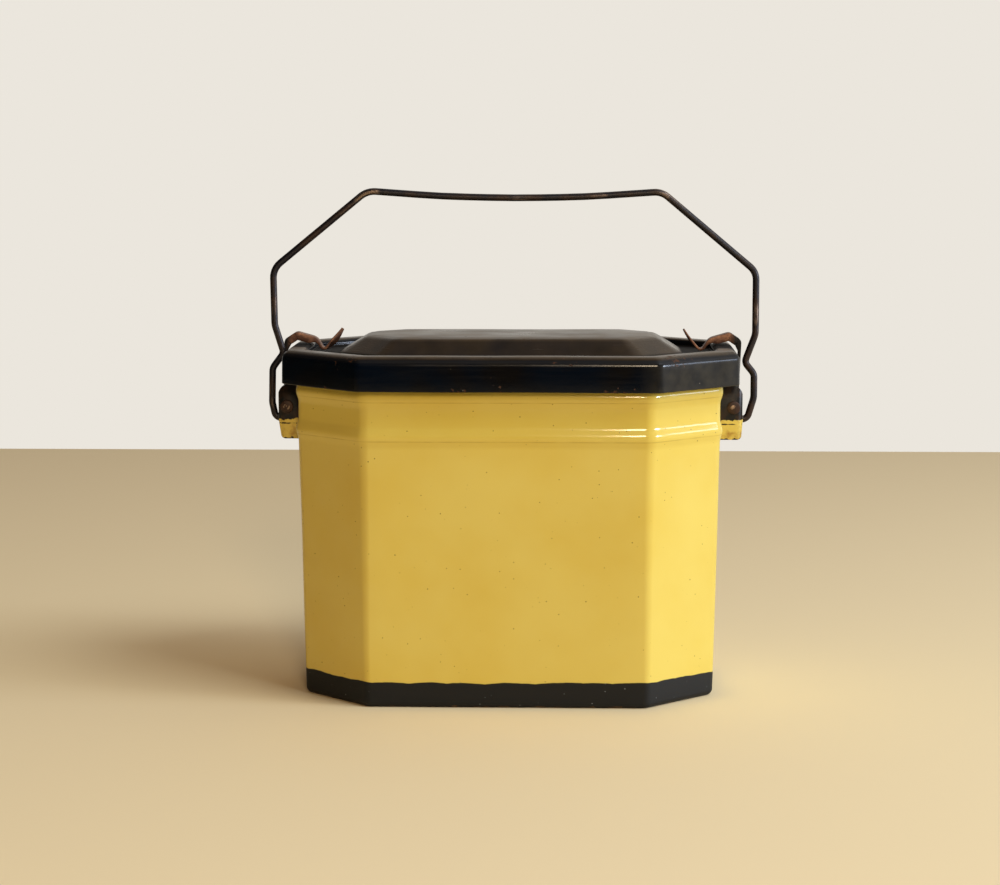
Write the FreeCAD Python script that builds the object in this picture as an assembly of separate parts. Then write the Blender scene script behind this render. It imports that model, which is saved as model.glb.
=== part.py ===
import FreeCAD, Part
import math
import os

# Eight-sided enamelled lunch box: drawn shell, pressed lid, wire bail and two spring clips.
# Millimetres. X runs along the box, the front faces -Y, Z is up, and the base stands on Z = 0.

# outline of the shell, on the outside of the sheet at the neck
half_long = 85.0
half_wide = 52.5
corner_cut = 26.5
shell_corner_radius = 9.5

# sheet of the shell and the lid
sheet = 1.0

# shell, from the foot up
foot_height = 1.4
foot_inset = 6.2
base_edge_radius = 2.5
wall_draft = 2.12
neck_height = 104.4
bead_height = 8.0
bead_rise = 1.3
bead_spacing = 16.0
bead_crest_radius = 5.0
bead_root_radius = 6.0
collar_height = 35.1
rim_roll_radius = 2.3
rim_roll_bite = 0.05

# lid: a rim that straddles the rolled edge, a sunken channel and a raised panel
lid_rim_gap = 0.3
lid_plug_gap = 0.75
lid_overhang = 6.8
lid_skirt_depth = 13.8
lid_corner_radius = 5.0
lid_rim_outer_radius = 3.0
lid_rim_inner_radius = 2.0
lid_root_radius = 1.1
channel_depth = 3.2
channel_ends = 15.85
channel_sides = 16.35
panel_rise = 8.4
panel_cut = 12.5
panel_corner_radius = 4.0
panel_edge_radius = 3.0
panel_root_radius = 2.0

# a swept wall ends in a flange, short of the corners' centres, that laps the plate it runs into
corner_margin = 0.25
flange_lap = 0.4

# ears: bent sheet brackets on the end walls
ear_sheet = 1.2
ear_drop = 1.4
ear_bend_radius = 2.2
ear_toe_radius = 2.5
ear_web_margin = 0.95
ear_shoulder = 1.0
ear_edge_radius = 0.6
lug_reach = 3.8
lug_skirt_gap = 1.4
lug_top_radius = 5.0

# pivots
bail_pivot_rise = 7.5
bail_clearance = 0.1
pin_radius = 1.5
pin_head_radius = 2.7
pin_head_height = 1.1
pin_head_bevel = 0.7
rivet_clearance = 0.05
eye_clearance = 0.1

# spring clips, a flat strip beside the bail wire
strip = 1.0
strip_width = 6.4
strip_wire_gap = 0.45
clip_side_gap = 0.2
clip_skirt_gap = 1.0
clip_web_gap = 0.2
clip_eye_rise = 0.8
clip_curl_lap = 0.6
clip_shoulder_rise = 2.0
clip_crest_rise = 5.2
clip_bridge_run = 4.9
clip_brow_run = 8.5
clip_brow_drop = 2.4
clip_seat_gap = 0.2
clip_nose_inset = 4.75
clip_tab_run = 7.4
clip_tab_rise = 8.6
clip_bend_radius = 2.4
clip_brow_radius = 5.0
clip_nose_radius = 1.0
stiffener_depth = 1.7
stiffener_width = 0.8
stiffener_leg = 2.2
stiffener_front = 6.5

# bail, a round wire in one plane
wire_radius = 1.35
bail_end_reach = 3.0
bail_heel_gap = 0.85
bail_heel_rise = 9.0
bail_bow_gap = 3.05
bail_bow_drop = 6.5
bail_kink_gap = 1.45
bail_kink_drop = 5.0
bail_side_gap = 3.85
bail_side_rise = 12.0
bail_shoulder_rise = 32.4
bail_corner_inset = 41.9
bail_corner_rise = 63.4
bail_sag = 3.2
bail_heel_radius = 3.0
bail_bow_radius = 8.0
bail_waist_radius = 5.0
bail_kink_radius = 3.4
bail_side_radius = 8.0
bail_shoulder_radius = 6.0
bail_corner_radius = 7.0
bail_sag_radius = 150.0

# heights that follow from the sizes above
rim_top = neck_height + collar_height
lid_top = rim_top + lid_rim_gap + sheet
skirt_bottom = lid_top - lid_skirt_depth
channel_top = lid_top - channel_depth
panel_top = channel_top + panel_rise
ear_bottom = neck_height - ear_drop
pivot_height = ear_bottom + bail_pivot_rise
ear_web_top = pivot_height + wire_radius + ear_web_margin
eye_radius = pin_radius + eye_clearance + strip
pin_height = ear_web_top + clip_eye_rise + eye_radius

# distances from the middle along X, and the panel's half sizes
skirt_face = half_long + lid_overhang
plug_inset = 2 * sheet + lid_plug_gap
plug_face = half_long - plug_inset
panel_half_long = half_long - plug_inset - channel_ends - panel_rise
panel_half_wide = half_wide - plug_inset - channel_sides - panel_rise
pin_long = skirt_face + clip_skirt_gap + strip - eye_radius
ear_reach = pin_long + eye_radius + clip_web_gap + ear_sheet

# the strip lies to one side of the bail wire, and the bracket is as wide as the eye
strip_near = wire_radius + strip_wire_gap
strip_far = strip_near + strip_width
ear_half = strip_far + clip_side_gap + ear_sheet

# what a rounded octagon's corner cut gains when its sides move out
eighth_turn_share = 2.0 - math.sqrt(2.0)


def point(x, y, z):
    return FreeCAD.Vector(x, y, z)


def in_section(line):
    # a section is drawn across the +X end wall, in the XZ plane
    return [point(x, 0, z) for x, z in line]


def rounded_edges(corners, radii):
    # straight runs joined by tangent arcs, from the first corner to the last
    edges = []
    last = corners[0]
    for before, corner, after, radius in zip(corners, corners[1:], corners[2:], radii[1:]):
        back = (before - corner).normalize()
        ahead = (after - corner).normalize()
        if radius > 0:
            half_angle = back.getAngle(ahead) / 2
            run = radius / math.tan(half_angle)
            middle = (back + ahead).normalize()
            apex = corner + middle * (radius / math.sin(half_angle) - radius)
            start = corner + back * run
            end = corner + ahead * run
            if start.distanceToPoint(last) > 1e-6:
                edges.append(Part.LineSegment(last, start).toShape())
            edges.append(Part.Arc(start, apex, end).toShape())
            last = end
        else:
            edges.append(Part.LineSegment(last, corner).toShape())
            last = corner
    edges.append(Part.LineSegment(last, corners[-1]).toShape())
    return edges


def offset_line(line, distance):
    # the same line moved to its left, corner by corner
    moved = []
    for number, (x, z) in enumerate(line):
        runs = []
        for start, end in ((number - 1, number), (number, number + 1)):
            if start >= 0 and end < len(line):
                run_x = line[end][0] - line[start][0]
                run_z = line[end][1] - line[start][1]
                length = math.hypot(run_x, run_z)
                runs.append((-run_z / length, run_x / length))
        normal_x = sum(run[0] for run in runs)
        normal_z = sum(run[1] for run in runs)
        scale = distance * len(runs) / (normal_x ** 2 + normal_z ** 2)
        moved.append((x + normal_x * scale, z + normal_z * scale))
    return moved


def turns_left(line, number):
    before, here, after = line[number - 1:number + 2]
    return (here[0] - before[0]) * (after[1] - here[1]) > (here[1] - before[1]) * (after[0] - here[0])


def sheet_section(line, radii, thickness):
    # a bent sheet: one face follows the line, and the other lies to its left
    other_radii = []
    for number, radius in enumerate(radii):
        if radius == 0:
            other_radii.append(0)
        elif turns_left(line, number) == (thickness > 0):
            # a bend tighter than the sheet is sharp inside
            other_radii.append(max(radius - abs(thickness), 0))
        else:
            other_radii.append(radius + abs(thickness))
    near = in_section(line)
    far = in_section(offset_line(line, thickness))
    edges = rounded_edges(near, radii)
    edges.append(Part.LineSegment(near[-1], far[-1]).toShape())
    edges += rounded_edges(far[::-1], other_radii[::-1])
    edges.append(Part.LineSegment(far[0], near[0]).toShape())
    return Part.Wire(edges)


def octagon(long, wide, cut, radius, grow, height):
    # closed outline with rounded corners, moved outward by grow; it starts in the middle of the +X side
    x = long + grow
    y = wide + grow
    c = cut + grow * eighth_turn_share
    half_turn = [(x, y - c), (x - c, y), (c - x, y), (-x, y - c)]
    turn = half_turn + [(-px, -py) for px, py in half_turn]
    corners = [point(px, py, height) for px, py in [(x, 0)] + turn + [(x, 0)]]
    radii = [0] + [radius + grow] * len(turn) + [0]
    return Part.Wire(rounded_edges(corners, radii))


def shell_outline(grow, height):
    return octagon(half_long, half_wide, corner_cut, shell_corner_radius, grow, height)


def lid_outline(grow, height):
    return octagon(half_long, half_wide, corner_cut, lid_corner_radius, grow, height)


def panel_outline(grow, height):
    return octagon(panel_half_long, panel_half_wide, panel_cut, panel_corner_radius, grow, height)


def swept(section, outline):
    return outline.makePipeShell([section], True, False)


def plate(outline, thickness):
    return Part.Face(outline).extrude(point(0, 0, thickness))


def joined(pieces):
    return pieces[0].fuse(pieces[1:]).removeSplitter()


def extruded_section(wire, start, end):
    face = Part.Face(wire)
    face.translate(point(0, start, 0))
    return face.extrude(point(0, end - start, 0))


def shell():
    # the wall's outer line, from the raised floor out to the foot and up to the rim
    foot_inside = -foot_inset - foot_height
    flange = shell_corner_radius + foot_inside - corner_margin
    grows = [
        (foot_inside - flange, foot_height),
        (foot_inside, foot_height),
        (-foot_inset, 0),
        (-wall_draft, 0),
    ]
    radii = [0, 0, 0, base_edge_radius]
    for low in (neck_height, neck_height + bead_spacing):
        grows += [(0, low), (bead_rise, low + bead_height / 2), (0, low + bead_height)]
        radii += [bead_root_radius, bead_crest_radius, bead_root_radius]
    roll_height = rim_top - rim_roll_radius
    grows.append((0, roll_height))
    radii.append(0)
    line = [(half_long + grow, height) for grow, height in grows]
    wall = swept(sheet_section(line, radii, sheet), shell_outline(0, 0))
    # the rim is rolled outward over a wire, so it is solid
    roll_long = half_long - sheet - rim_roll_bite + rim_roll_radius
    roll_edge = Part.Circle(point(roll_long, 0, roll_height), point(0, 1, 0), rim_roll_radius)
    roll = swept(Part.Wire([roll_edge.toShape()]), shell_outline(0, 0))
    floor = plate(shell_outline(foot_inside - flange + flange_lap, foot_height), sheet)
    return joined([wall, roll, floor])


def lid():
    rim_flange = lid_corner_radius - plug_inset - corner_margin
    rim_line = [
        (skirt_face, skirt_bottom),
        (skirt_face, lid_top),
        (plug_face, lid_top),
        (plug_face, channel_top),
        (plug_face - rim_flange, channel_top),
    ]
    rim_radii = [0, lid_rim_outer_radius, lid_rim_inner_radius, lid_root_radius, 0]
    rim = swept(sheet_section(rim_line, rim_radii, sheet), lid_outline(0, 0))
    # the panel's sides slope at 45 degrees, so they run out as far as they drop
    panel_foot = panel_half_long + panel_rise
    panel_flange = panel_corner_radius / 2
    panel_line = [
        (panel_half_long - panel_flange, panel_top),
        (panel_half_long, panel_top),
        (panel_foot, channel_top),
        (panel_foot + panel_flange, channel_top),
    ]
    panel_radii = [0, panel_edge_radius, panel_root_radius, 0]
    panel = swept(sheet_section(panel_line, panel_radii, -sheet), panel_outline(0, 0))
    channel_edge = flange_lap - plug_inset - rim_flange
    panel_lap = panel_flange - flange_lap
    channel = plate(lid_outline(channel_edge, channel_top - sheet), sheet)
    channel = channel.cut(plate(panel_outline(panel_rise + panel_lap, channel_top - sheet), sheet))
    crown = plate(panel_outline(-panel_lap, panel_top - sheet), sheet)
    return joined([rim, channel, panel, crown])


def ear(body):
    # a strap bent to a U in plan, its cheeks standing up to the lid's skirt beside the clip
    root = half_long - sheet / 2
    top = skirt_bottom - lug_skirt_gap
    plan = [(root, -ear_half), (ear_reach, -ear_half), (ear_reach, ear_half), (root, ear_half)]
    section = sheet_section(plan, [0, ear_bend_radius, ear_bend_radius, 0], ear_sheet)
    section.rotate(point(0, 0, 0), point(1, 0, 0), -90)
    section.translate(point(0, 0, ear_bottom))
    strap = plate(section, top - ear_bottom)
    lug_front = pin_long + lug_reach
    cheek_top = ear_web_top + ear_shoulder
    side = [
        (root, ear_bottom),
        (ear_reach, ear_bottom),
        (ear_reach, ear_web_top),
        (lug_front, cheek_top),
        (lug_front, top),
        (root, top),
        (root, ear_bottom),
    ]
    radii = [0, ear_toe_radius, ear_edge_radius, ear_edge_radius, lug_top_radius, 0, 0]
    outline = Part.Wire(rounded_edges(in_section(side), radii))
    bracket = strap.common(extruded_section(outline, -ear_half, ear_half))
    # above the web only the two cheeks are left
    inside = ear_half - ear_sheet
    window = Part.makeBox(
        ear_reach - root, 2 * inside, top - ear_web_top, point(root, -inside, ear_web_top)
    )
    bail_hole = Part.makeCylinder(
        wire_radius + bail_clearance,
        2 * ear_sheet,
        point(ear_reach - 2 * ear_sheet, 0, pivot_height),
        point(1, 0, 0),
    )
    pin_hole = Part.makeCylinder(
        pin_radius + rivet_clearance,
        2 * ear_half,
        point(pin_long, -ear_half, pin_height),
        point(0, 1, 0),
    )
    seated = bracket.cut([window, bail_hole, pin_hole, body]).removeSplitter()
    # slivers behind a bead are cut off by the wall
    return max(seated.Solids, key=lambda solid: solid.Volume)


def clip_pin():
    # shank with a bevelled head closed down on each cheek
    end = ear_half + pin_head_height
    half_line = [
        (pin_radius, ear_half),
        (pin_head_radius, ear_half),
        (pin_head_radius, end - pin_head_bevel),
        (pin_head_radius - pin_head_bevel, end),
        (0, end),
    ]
    line = [(x, -z) for x, z in half_line[::-1]] + half_line
    line.append(line[0])
    profile = Part.Face(Part.makePolygon(in_section(line)))
    pin = profile.revolve(point(0, 0, 0), point(0, 0, 1), 360)
    pin.rotate(point(0, 0, 0), point(1, 0, 0), 90)
    pin.translate(point(pin_long, 0, pin_height))
    return pin


def bail():
    # one half of the wire's route, from its end in the right ear up to the middle of the grip
    out = ear_reach + wire_radius
    kink_height = lid_top - bail_kink_drop
    corner_height = lid_top + bail_corner_rise
    half_route = [
        (ear_reach - ear_sheet - bail_end_reach, pivot_height, 0),
        (out + bail_heel_gap, pivot_height, bail_heel_radius),
        (out + bail_bow_gap, pivot_height + bail_heel_rise, bail_bow_radius),
        (out + bail_bow_gap, kink_height - bail_bow_drop, bail_waist_radius),
        (skirt_face + bail_kink_gap + wire_radius, kink_height, bail_kink_radius),
        (out + bail_side_gap, kink_height + bail_side_rise, bail_side_radius),
        (out + bail_side_gap, lid_top + bail_shoulder_rise, bail_shoulder_radius),
        (out + bail_side_gap - bail_corner_inset, corner_height, bail_corner_radius),
        (0, corner_height - bail_sag, bail_sag_radius),
    ]
    route = half_route + [(-x, z, radius) for x, z, radius in half_route[-2::-1]]
    corners = in_section([(x, z) for x, z, radius in route])
    path = Part.Wire(rounded_edges(corners, [radius for x, z, radius in route]))
    section = Part.Circle(corners[0], point(1, 0, 0), wire_radius)
    return swept(Part.Wire([section.toShape()]), path)


def along(start, end, distance):
    # the point that far from start on the way to end
    share = distance / math.hypot(end[0] - start[0], end[1] - start[1])
    return (start[0] + share * (end[0] - start[0]), start[1] + share * (end[1] - start[1]))


def clip():
    # the strip's outer line: a curl about the pin, the leg, a hood over the rim, the nose and the tab
    leg = pin_long + eye_radius
    eye_top = pin_height + eye_radius
    curl = [
        (pin_long + clip_curl_lap, eye_top),
        (pin_long - eye_radius, eye_top),
        (pin_long - eye_radius, pin_height - eye_radius),
        (leg, pin_height - eye_radius),
    ]
    curl_radii = [0, eye_radius, eye_radius, eye_radius]
    shoulder = (leg, lid_top + clip_shoulder_rise)
    crest = (leg - clip_bridge_run, lid_top + clip_crest_rise)
    brow = (crest[0] - clip_brow_run, crest[1] - clip_brow_drop)
    nose = (plug_face - clip_nose_inset, channel_top + clip_seat_gap + strip)
    tip = (nose[0] - clip_tab_run, nose[1] + clip_tab_rise)
    spring = sheet_section(
        curl + [shoulder, crest, brow, nose, tip],
        curl_radii + [clip_bend_radius, clip_bend_radius, clip_brow_radius, clip_nose_radius, 0],
        strip,
    )
    # only the eye is as wide as the bracket: the leg rises behind the bail wire
    eye = sheet_section(curl + [(leg, eye_top)], curl_radii + [0], strip)
    pieces = [
        extruded_section(spring, strip_near, strip_far),
        extruded_section(eye, -strip_far, strip_near),
    ]
    # turned-down edges stiffen the hood, from the top of the leg to the brow
    hood = [(leg, shoulder[1] - stiffener_leg), shoulder, crest, along(crest, brow, stiffener_front)]
    edge = sheet_section(hood, [0, clip_bend_radius, clip_bend_radius, 0], strip + stiffener_depth)
    for start in (strip_near, strip_far - stiffener_width):
        pieces.append(extruded_section(edge, start, start + stiffener_width))
    return joined(pieces)


def mirrored(shape):
    return shape.mirror(point(0, 0, 0), point(1, 0, 0))


body = shell()
right_ear = ear(body)
right_pin = clip_pin()
right_clip = clip()
nodes = {
    "body": body,
    "lid": lid(),
    "bail": bail(),
    "ear_right": right_ear,
    "ear_left": mirrored(right_ear),
    "clip_pin_right": right_pin,
    "clip_pin_left": mirrored(right_pin),
    "clip_right": right_clip,
    "clip_left": mirrored(right_clip),
}

os.makedirs("parts", exist_ok=True)
for name, shape in nodes.items():
    solid = shape.Solids[0]
    solid.exportStep("parts/" + name + ".step")
    box = solid.BoundBox
    print(name, len(shape.Solids), shape.isValid(), round(solid.Volume, 1), len(solid.Faces),
          [round(v, 2) for v in (box.XMin, box.XMax, box.YMin, box.YMax, box.ZMin, box.ZMax)])
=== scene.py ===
import math

import bmesh
import bpy
from mathutils import Euler, Matrix, Vector, noise


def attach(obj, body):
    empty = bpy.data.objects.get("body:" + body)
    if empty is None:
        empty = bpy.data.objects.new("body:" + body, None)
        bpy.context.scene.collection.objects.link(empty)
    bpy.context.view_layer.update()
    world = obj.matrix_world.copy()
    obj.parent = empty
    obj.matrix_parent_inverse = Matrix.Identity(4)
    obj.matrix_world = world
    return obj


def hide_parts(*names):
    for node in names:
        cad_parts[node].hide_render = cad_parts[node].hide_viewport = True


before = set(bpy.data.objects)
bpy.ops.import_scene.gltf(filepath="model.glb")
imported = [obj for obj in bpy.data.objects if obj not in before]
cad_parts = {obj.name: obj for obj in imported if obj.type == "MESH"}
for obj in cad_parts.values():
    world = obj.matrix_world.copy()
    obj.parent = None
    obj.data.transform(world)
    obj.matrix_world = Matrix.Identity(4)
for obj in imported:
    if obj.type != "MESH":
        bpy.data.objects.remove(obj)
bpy.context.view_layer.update()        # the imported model, which stays as it is
print("frame loaded:", ", ".join(sorted(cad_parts)))

mm = 0.001               # sizes below are in millimetres unless they say otherwise
scene = bpy.context.scene
scene.view_settings.view_transform = "Standard"


# colours and nodes

def colour(hexText):
    channels = [int(hexText[k:k + 2], 16) / 255 for k in (1, 3, 5)]
    linear = [c / 12.92 if c <= 0.04045 else ((c + 0.055) / 1.055) ** 2.4 for c in channels]
    return linear + [1.0]


def perMetre(size):
    return 1.0 / (size * mm)     # texture scale for a pattern of this size


def feed(tree, node, inputs):
    # a node or a socket is linked, a hex text is a colour, anything else is the input's own value
    for key, value in inputs.items():
        if isinstance(value, bpy.types.Node):
            value = next(output for output in value.outputs if output.enabled)
        if isinstance(value, bpy.types.NodeSocket):
            tree.links.new(value, node.inputs[key])
        else:
            node.inputs[key].default_value = colour(value) if isinstance(value, str) else value


def addNode(tree, kind, inputs, **settings):
    node = tree.nodes.new("ShaderNode" + kind)
    for name, value in settings.items():
        setattr(node, name, value)
    feed(tree, node, inputs)
    return node


def newMaterial(name):
    material = bpy.data.materials.new(name)
    material.use_nodes = True
    shader = material.node_tree.nodes["Principled BSDF"]
    return material, material.node_tree, shader


tooSmall = 0.001         # radius of a fleck or pinhole that doesn't show, as a share of its cell


# yellow vitreous enamel, dipped and fired over a black ground coat
# a glassy skin with faint clouds, pinholes where gas broke through, and a black dipped foot

yellowLook = {
    "deep": "#d7be55", "pale": "#dbc662", "cloudSize": 42.0, "cloudFrom": 0.35, "cloudTo": 0.65,
    "pinhole": "#5c4310", "pinholeCell": 2.6, "pinholeRadius": 0.33,
    "pinholeShare": 0.75, "pinholeCore": 0.45,
    # the bead line colour and the sizes that follow it are painted shade under each bead
    "beadShade": "#9a7a2c", "shadeHeights": (106.8, 122.2), "shadeWide": 0.3,
    "shadeSize": 9.0, "shadeFrom": 0.4, "shadeTo": 0.6, "shadeLeast": 0.2, "shadeMost": 0.5,
    "foot": "#030508", "footFleck": "#6f7478", "footEdge": 10.3, "edgeSoft": 0.12,
    "scallopSize": 10.7, "scallopDepth": 0.9, "tremorSize": 3.2, "tremorDepth": 0.35,
    "waveSize": 23.0, "waveDepth": 1.3,
    "chip": "#4a3723", "chipHeight": 2.4, "chipSize": 4.6, "chipLift": 0.5, "chipFrom": 0.95, "chipTo": 0.99,
    "roughness": 0.09, "footRoughness": 0.6, "chipRoughness": 0.75, "ior": 1.5, "mirror": 0.36,
    "peelSize": 2.6, "peelDepth": 0.006,
}


def yellowEnamel():
    look = yellowLook
    material, tree, shader = newMaterial("yellow vitreous enamel, dipped and fired")
    point = addNode(tree, "TexCoord", {}).outputs["Object"]
    axes = addNode(tree, "SeparateXYZ", {0: point}).outputs
    around = addNode(tree, "CombineXYZ", {0: axes[0], 1: axes[1]})
    # faint clouds in the colour
    cloud = addNode(tree, "TexNoise", {"Vector": point, "Scale": perMetre(look["cloudSize"]), "Detail": 3.0})
    cloudShare = addNode(tree, "MapRange", {0: cloud, 1: look["cloudFrom"], 2: look["cloudTo"]})
    skin = addNode(tree, "Mix", {0: cloudShare, 6: look["deep"], 7: look["pale"]}, data_type="RGBA")
    # pinholes: only some cells have one, and they differ in size
    cells = addNode(tree, "TexVoronoi", {"Vector": point, "Scale": perMetre(look["pinholeCell"])}).outputs
    luck = addNode(tree, "SeparateColor", {0: cells["Color"]})
    largest = look["pinholeRadius"] / look["pinholeCell"]
    radius = addNode(tree, "MapRange", {0: luck, 1: 1 - look["pinholeShare"], 3: tooSmall, 4: largest})
    core = addNode(tree, "Math", {0: radius, 1: look["pinholeCore"]}, operation="MULTIPLY")
    pinhole = addNode(tree, "MapRange", {0: cells["Distance"], 1: radius, 2: core})
    skin = addNode(tree, "Mix", {0: pinhole, 6: skin, 7: look["pinhole"]}, data_type="RGBA")
    # painted shade: a thin, patchy darker line under each bead, where its lower side turns downward
    shadeGrain = addNode(tree, "TexNoise", {"Vector": point, "Scale": perMetre(look["shadeSize"]), "Detail": 3.0})
    patchy = addNode(tree, "MapRange", {
        0: shadeGrain, 1: look["shadeFrom"], 2: look["shadeTo"], 3: look["shadeLeast"], 4: look["shadeMost"]})
    for lineHeight in look["shadeHeights"]:
        off = addNode(tree, "Math", {0: axes[2], 1: lineHeight * mm}, operation="SUBTRACT")
        off = addNode(tree, "Math", {0: off}, operation="ABSOLUTE")
        shadeLine = addNode(tree, "MapRange", {0: off, 1: look["shadeWide"] * mm, 2: 0.0, 4: patchy})
        skin = addNode(tree, "Mix", {0: shadeLine, 6: skin, 7: look["beadShade"]}, data_type="RGBA")
    # the black foot ends in a scalloped, slowly waving line where the coat ran
    cups = addNode(tree, "TexVoronoi", {
        "Vector": around, "Scale": perMetre(look["scallopSize"])}, voronoi_dimensions="2D")
    scallop = addNode(tree, "Math", {0: cups, 1: 2.0}, operation="POWER")
    tremor = addNode(tree, "TexNoise", {
        "Vector": around, "Scale": perMetre(look["tremorSize"]), "Detail": 1.0})
    wave = addNode(tree, "TexNoise", {"Vector": around, "Scale": perMetre(look["waveSize"]), "Detail": 0.0})
    edge = (look["footEdge"] - look["waveDepth"] / 2) * mm
    drops = (scallop, -look["scallopDepth"]), (tremor, look["tremorDepth"]), (wave, look["waveDepth"])
    for run, depth in drops:
        edge = addNode(tree, "Math", {0: run, 1: depth * mm, 2: edge}, operation="MULTIPLY_ADD")
    above = addNode(tree, "Math", {0: axes[2], 1: edge}, operation="SUBTRACT")
    soft = look["edgeSoft"] * mm
    foot = addNode(tree, "MapRange", {0: above, 1: soft, 2: -soft})
    footSkin = addNode(tree, "Mix", {0: pinhole, 6: look["foot"], 7: look["footFleck"]}, data_type="RGBA")
    skin = addNode(tree, "Mix", {0: foot, 6: skin, 7: footSkin}, data_type="RGBA")
    # chips along the edge that the box stands on
    flake = addNode(tree, "TexNoise", {"Vector": point, "Scale": perMetre(look["chipSize"]), "Detail": 3.0})
    low = addNode(tree, "MapRange", {0: axes[2], 1: look["chipHeight"] * mm, 2: 0.0, 4: look["chipLift"]})
    flaking = addNode(tree, "Math", {0: flake, 1: low})
    chip = addNode(tree, "MapRange", {0: flaking, 1: look["chipFrom"], 2: look["chipTo"]})
    skin = addNode(tree, "Mix", {0: chip, 6: skin, 7: look["chip"]}, data_type="RGBA")
    gloss = addNode(tree, "MapRange", {0: foot, 3: look["roughness"], 4: look["footRoughness"]})
    gloss = addNode(tree, "MapRange", {0: chip, 3: gloss, 4: look["chipRoughness"]})
    # the slight orange peel of a poured glass, with the pinholes sunk into it
    peel = addNode(tree, "TexNoise", {"Vector": point, "Scale": perMetre(look["peelSize"]), "Detail": 2.0})
    pits = addNode(tree, "Math", {0: pinhole, 1: -1.0, 2: peel}, operation="MULTIPLY_ADD")
    bump = addNode(tree, "Bump", {"Height": pits, "Distance": look["peelDepth"] * mm})
    feed(tree, shader, {
        "Base Color": skin, "Roughness": gloss, "Normal": bump,
        "IOR": look["ior"], "Specular IOR Level": look["mirror"]})
    return material


# black vitreous enamel on the lid, dipped and worn
# a hazy gloss under brown dust and a painted warm sheen on what faces up, grime and painted shade in the
# channel and under the clips, rusty chips along the bends, pale flecks and one corner greyed by scuffing and
# a painted reflection

blackLook = {
    "black": "#030a15", "brown": "#0c0b0b", "cloudSize": 16.0, "cloudFrom": 0.42, "cloudTo": 0.7,
    # the dust colour and its sizes below stand for dust and a painted warm reflection on upward faces
    "dustAndSheen": "#655135", "dustSheenSize": 11.0, "dustSheenShare": 0.55, "dustSheenTilt": 0.6,
    "dustSheenFrom": 0.3, "dustSheenTo": 0.7, "dustSheenThin": 0.6, "dustSheenThick": 1.2,
    # the grime colour and its heights below stand for grime and painted shade in the channel and under the
    # clips
    "grimeAndShade": "#100c0a", "grimeShadeTop": 139.6, "grimeShadeFrom": 138.6, "grimeShadeTilt": 0.3, "grimeShadeFlat": 0.6,
    "clipFrom": 77.0, "clipFade": 2.0, "clipHalf": 12.0, "clipSideFade": 3.0,
    # the scuff colour and its place below stand for a scuff and a painted reflection on one skirt corner
    "scuffAndSheen": "#3f3b31", "scuffSheenAt": (78.0, -46.0, 134.0), "scuffSheenReach": 30.0, "scuffSheenCore": 0.7,
    "scuffSheenShare": 0.55, "scuffSheenSize": 5.5, "scuffSheenFrom": 0.3, "scuffSheenTo": 0.7, "scuffSheenLeast": 0.35,
    "scuffSheenTilt": 0.5, "scuffSheenUpright": 0.1,
    "rust": "#2a1c14", "rustPale": "#523726", "chipSize": 1.7, "patchSize": 15.0,
    "bendWear": 0.2, "chipFrom": 1.46, "chipTo": 1.51, "chipSunk": -2.0,
    "fleck": "#9a9385", "fleckCell": 4.2, "fleckRadius": 0.32, "fleckShare": 0.3,
    "roughness": 0.14, "hazeRoughness": 0.22, "dustSheenRoughness": 0.3,
    "rustRoughness": 0.8, "grimeShadeRoughness": 0.8,
    "rubLong": 22.0, "rubShort": 1.1,      # rubbed streaks, drawn coarser than real scratches to show
    "rubFrom": 0.35, "rubTo": 0.7,
    "peelSize": 2.8, "peelDepth": 0.015, "ior": 1.5, "mirror": 0.2,
}


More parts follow.
